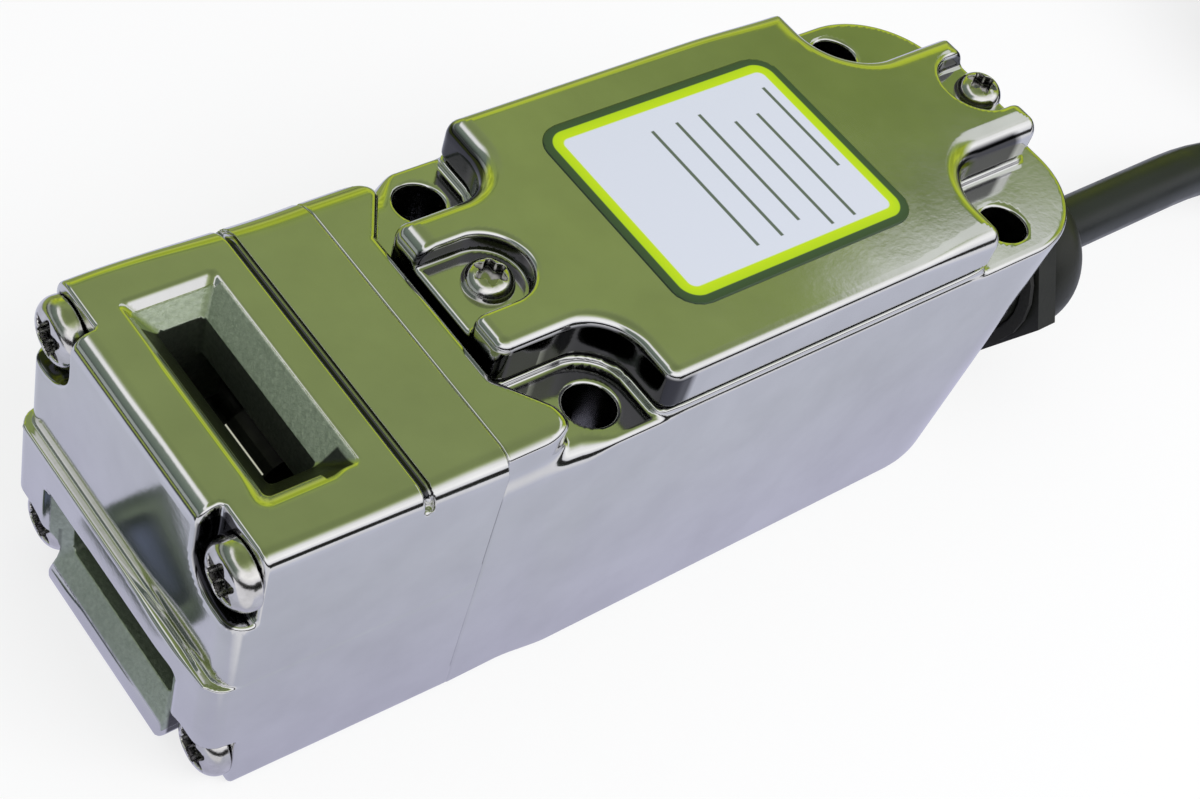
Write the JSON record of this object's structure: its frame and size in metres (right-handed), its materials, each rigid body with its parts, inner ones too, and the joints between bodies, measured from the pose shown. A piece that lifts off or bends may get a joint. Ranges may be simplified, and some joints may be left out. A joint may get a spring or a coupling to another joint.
{
  "type": "safety interlock switch",
  "caption": "Stainless steel tongue-operated safety interlock switch with a cam head, screwed lid, blank label and black cable.",
  "frame": {"origin": "centre of the mounting-hole pattern, on the mounting face", "axes": "+X from the actuator head to the cable entry, +Z from the mounting face up through the lid"},
  "size_m": [0.3123, 0.0632, 0.0411],
  "materials": {
    "polished_steel": "mirror-polished cast stainless steel",
    "screw_steel": "bright machined steel",
    "bronze": "plain bearing bronze",
    "brass": "bright contact brass",
    "black_rubber": "matt black rubber",
    "black_nylon": "black moulded nylon",
    "cable_jacket": "smooth black cable jacket",
    "contact_plastic": "pale moulded thermoset",
    "carrier_plastic": "dark red moulded plastic",
    "label_film": "printed film label"
  },
  "bodies": {
    "switch_body": {"housing": "polished_steel", "head": "polished_steel", "lid": "polished_steel", "head_screw_top_left": "screw_steel", "head_screw_top_right": "screw_steel", "head_screw_bottom_left": "screw_steel", "head_screw_bottom_right": "screw_steel", "lid_screw_front": "screw_steel", "lid_screw_rear": "screw_steel", "cam_axle": "screw_steel", "block_screw_left": "screw_steel", "block_screw_right": "screw_steel", "terminal_screw_front_left": "screw_steel", "terminal_screw_front_right": "screw_steel", "terminal_screw_rear_left": "screw_steel", "terminal_screw_rear_right": "screw_steel", "return_spring": "screw_steel", "plunger_bush": "bronze", "terminal_front_left": "brass", "terminal_front_right": "brass", "terminal_rear_left": "brass", "terminal_rear_right": "brass", "lid_gasket": "black_rubber", "gland_washer": "black_rubber", "gland_seal": "black_rubber", "gland_body": "black_nylon", "gland_nut": "black_nylon", "cable": "cable_jacket", "cable_hank": "cable_jacket", "contact_block": "contact_plastic", "label_plate": "label_film"},
    "cam_body": {"cam": "screw_steel"},
    "plunger_body": {"plunger": "screw_steel", "contact_bridge_front": "brass", "contact_bridge_rear": "brass", "contact_carrier": "carrier_plastic"}
  },
  "joints": [
    {"name": "cam_turn", "type": "hinge", "parent": "switch_body", "child": "cam_body", "pos_m": [-0.0532, 0, 0.01905], "axis": [0, -1, 0], "range_deg": [0, 60]},
    {"name": "plunger_slide", "type": "slide", "parent": "switch_body", "child": "plunger_body", "axis": [1, 0, 0], "range_m": [0, 0.0025], "stiffness_N_per_m": 300, "springref_m": -0.002, "deforming": ["return_spring"]}
  ],
  "couplings": [
    {"joint": "cam_turn", "follows": "plunger_slide", "rad_per_m": 418.88}
  ]
}
